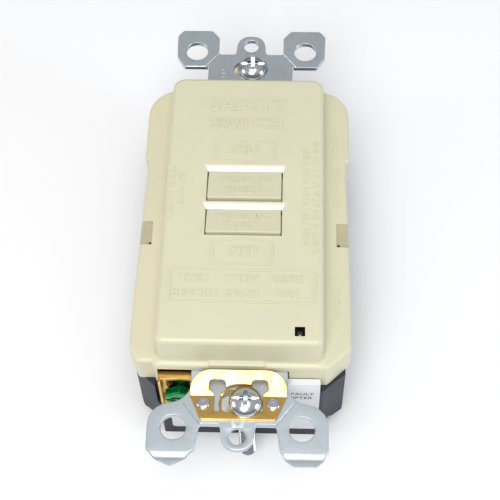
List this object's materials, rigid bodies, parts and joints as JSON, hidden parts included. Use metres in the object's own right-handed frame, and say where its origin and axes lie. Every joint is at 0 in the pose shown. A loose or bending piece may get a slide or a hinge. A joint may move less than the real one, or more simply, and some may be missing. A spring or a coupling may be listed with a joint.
{
  "type": "blank-face ground-fault interrupter",
  "caption": "Blank-face ground-fault interrupter for a wall box, with reset and test buttons, a trip mechanism, wire clamps and a steel mounting strap.",
  "frame": {"origin": "midway between the two box screws, on the back plane of the mounting strap", "axes": "+Z out of the face, +Y towards the top end, -Y towards the grounding end"},
  "size_m": [0.0446, 0.1058, 0.0383],
  "materials": {
    "ivory_plastic": "satin moulded",
    "charcoal_plastic": "matt moulded",
    "plated_steel": "zinc plated, satin",
    "bright_steel": "nickel plated, bright",
    "clip_brass": "bright stamped",
    "green_dyed_steel": "green dyed zinc",
    "label_paper": "printed film",
    "clear_plastic": "moulded clear",
    "retainer_fibre": "matt",
    "black_plastic": "matt moulded",
    "spring_steel": "drawn wire",
    "copper_alloy": "stamped",
    "silver_contact": "polished",
    "magnet_wire": "enamelled winding",
    "natural_nylon": "matt moulded",
    "board_laminate": "solder masked",
    "ferrite": "matt",
    "blue_epoxy": "dipped",
    "orange_epoxy": "dipped",
    "tan_ceramic": "lacquered"
  },
  "bodies": {
    "body": {"front_cover": "ivory_plastic", "rear_housing": "charcoal_plastic", "middle_frame": "black_plastic", "mounting_strap": "plated_steel", "grounding_clip": "clip_brass", "clip_rivets": "plated_steel", "ground_terminal": "clip_brass", "rating_label": "label_paper", "assembly_screws": "plated_steel", "light_pipe": "clear_plastic", "reset_spring": "spring_steel", "test_spring": "spring_steel", "test_blade": "copper_alloy", "test_contact": "copper_alloy", "fixed_contacts": "silver_contact", "solenoid_bobbin": "natural_nylon", "solenoid_coil": "magnet_wire", "solenoid_frame": "plated_steel", "armature_spring": "spring_steel", "circuit_board": "board_laminate", "toroid_cores": "ferrite", "toroid_windings": "magnet_wire", "toroid_housing": "black_plastic", "hot_conductor": "copper_alloy", "neutral_conductor": "copper_alloy", "varistor": "blue_epoxy", "capacitors": "orange_epoxy", "control_chip": "black_plastic", "thyristor": "black_plastic", "resistors": "tan_ceramic", "diodes": "black_plastic", "indicator_led": "clear_plastic", "line_hot_terminal": "clip_brass", "line_neutral_terminal": "plated_steel", "load_hot_terminal": "clip_brass", "load_neutral_terminal": "plated_steel"},
    "reset": {"reset_button": "ivory_plastic", "reset_plunger": "plated_steel"},
    "test": {"test_button": "ivory_plastic"},
    "carrier": {"contact_carrier": "natural_nylon"},
    "latch": {"latch_plate": "plated_steel"},
    "hot_arm": {"hot_contact_arm": "copper_alloy", "hot_moving_contact": "silver_contact"},
    "neutral_arm": {"neutral_contact_arm": "copper_alloy", "neutral_moving_contact": "silver_contact"},
    "armature": {"armature": "plated_steel"},
    "green_screw": {"ground_screw": "green_dyed_steel"},
    "top_retainer": {"top_screw_retainer": "retainer_fibre"},
    "top_screw": {"top_mounting_screw": "bright_steel"},
    "bottom_retainer": {"bottom_screw_retainer": "retainer_fibre"},
    "bottom_screw": {"bottom_mounting_screw": "bright_steel"},
    "line_hot_screw": {"line_hot_screw": "clip_brass"},
    "line_hot_clamp": {"line_hot_clamp": "plated_steel"},
    "line_neutral_screw": {"line_neutral_screw": "bright_steel"},
    "line_neutral_clamp": {"line_neutral_clamp": "plated_steel"},
    "load_hot_screw": {"load_hot_screw": "clip_brass"},
    "load_hot_clamp": {"load_hot_clamp": "plated_steel"},
    "load_neutral_screw": {"load_neutral_screw": "bright_steel"},
    "load_neutral_clamp": {"load_neutral_clamp": "plated_steel"}
  },
  "joints": [
    {"name": "reset_press", "type": "slide", "parent": "body", "child": "reset", "axis": [0, 0, -1], "range_m": [0, 0.0018], "stiffness_N_per_m": 600, "springref_m": -0.002, "deforming": ["reset_spring"]},
    {"name": "test_press", "type": "slide", "parent": "body", "child": "test", "axis": [0, 0, -1], "range_m": [0, 0.0015], "stiffness_N_per_m": 600, "springref_m": -0.002, "deforming": ["test_spring", "test_blade"]},
    {"name": "carrier_lift", "type": "slide", "parent": "body", "child": "carrier", "axis": [0, 0, 1], "range_m": [0, 0.002]},
    {"name": "hot_arm_swing", "type": "hinge", "parent": "body", "child": "hot_arm", "pos_m": [0.0101, -0.0115, -0.01415], "axis": [1, 0, 0], "range_deg": [0, 8]},
    {"name": "neutral_arm_swing", "type": "hinge", "parent": "body", "child": "neutral_arm", "pos_m": [-0.0101, -0.0115, -0.01415], "axis": [1, 0, 0], "range_deg": [0, 8]},
    {"name": "armature_pull", "type": "slide", "parent": "body", "child": "armature", "axis": [0, -1, 0], "range_m": [0, 0.0016], "stiffness_N_per_m": 200, "springref_m": -0.001, "deforming": ["armature_spring"]},
    {"name": "latch_shift", "type": "slide", "parent": "body", "child": "latch", "axis": [0, -1, 0], "range_m": [0, 0.0016]},
    {"name": "line_hot_screw_turn", "type": "hinge", "parent": "body", "child": "line_hot_screw", "pos_m": [0.019, 0.0185, -0.013], "axis": [-1, 0, 0], "range_deg": [0, 540]},
    {"name": "line_hot_clamp_close", "type": "slide", "parent": "body", "child": "line_hot_clamp", "axis": [1, 0, 0], "range_m": [0, 0.00119]},
    {"name": "line_neutral_screw_turn", "type": "hinge", "parent": "body", "child": "line_neutral_screw", "pos_m": [-0.019, 0.0185, -0.013], "axis": [1, 0, 0], "range_deg": [0, 540]},
    {"name": "line_neutral_clamp_close", "type": "slide", "parent": "body", "child": "line_neutral_clamp", "axis": [-1, 0, 0], "range_m": [0, 0.00119]},
    {"name": "load_hot_screw_turn", "type": "hinge", "parent": "body", "child": "load_hot_screw", "pos_m": [0.019, -0.0185, -0.013], "axis": [-1, 0, 0], "range_deg": [0, 540]},
    {"name": "load_hot_clamp_close", "type": "slide", "parent": "body", "child": "load_hot_clamp", "axis": [1, 0, 0], "range_m": [0, 0.00119]},
    {"name": "load_neutral_screw_turn", "type": "hinge", "parent": "body", "child": "load_neutral_screw", "pos_m": [-0.019, -0.0185, -0.013], "axis": [1, 0, 0], "range_deg": [0, 540]},
    {"name": "load_neutral_clamp_close", "type": "slide", "parent": "body", "child": "load_neutral_clamp", "axis": [-1, 0, 0], "range_m": [0, 0.00119]},
    {"name": "ground_screw_turn", "type": "hinge", "parent": "body", "child": "green_screw", "pos_m": [-0.0122, -0.036, -0.0065], "axis": [0, -1, 0], "range_deg": [0, 360]},
    {"name": "top_screw_shift", "type": "slide", "parent": "body", "child": "top_retainer", "axis": [1, 0, 0], "range_m": [-0.0018, 0.0009]},
    {"name": "top_screw_turn", "type": "hinge", "parent": "top_retainer", "child": "top_screw", "pos_m": [0.0005, 0.04167, 0], "axis": [0, 0, 1], "continuous": true},
    {"name": "bottom_screw_shift", "type": "slide", "parent": "body", "child": "bottom_retainer", "axis": [1, 0, 0], "range_m": [-0.0018, 0]},
    {"name": "bottom_screw_turn", "type": "hinge", "parent": "bottom_retainer", "child": "bottom_screw", "pos_m": [0.0014, -0.04167, 0], "axis": [0, 0, 1], "continuous": true}
  ],
  "couplings": [
    {"joint": "hot_arm_swing", "follows": "carrier_lift", "rad_per_m": 68},
    {"joint": "neutral_arm_swing", "follows": "carrier_lift", "rad_per_m": 68},
    {"joint": "latch_shift", "follows": "armature_pull", "ratio": 1},
    {"joint": "line_hot_screw_turn", "follows": "line_hot_clamp_close", "rad_per_m": 7915.8},
    {"joint": "line_neutral_screw_turn", "follows": "line_neutral_clamp_close", "rad_per_m": 7915.8},
    {"joint": "load_hot_screw_turn", "follows": "load_hot_clamp_close", "rad_per_m": 7915.8},
    {"joint": "load_neutral_screw_turn", "follows": "load_neutral_clamp_close", "rad_per_m": 7915.8}
  ]
}
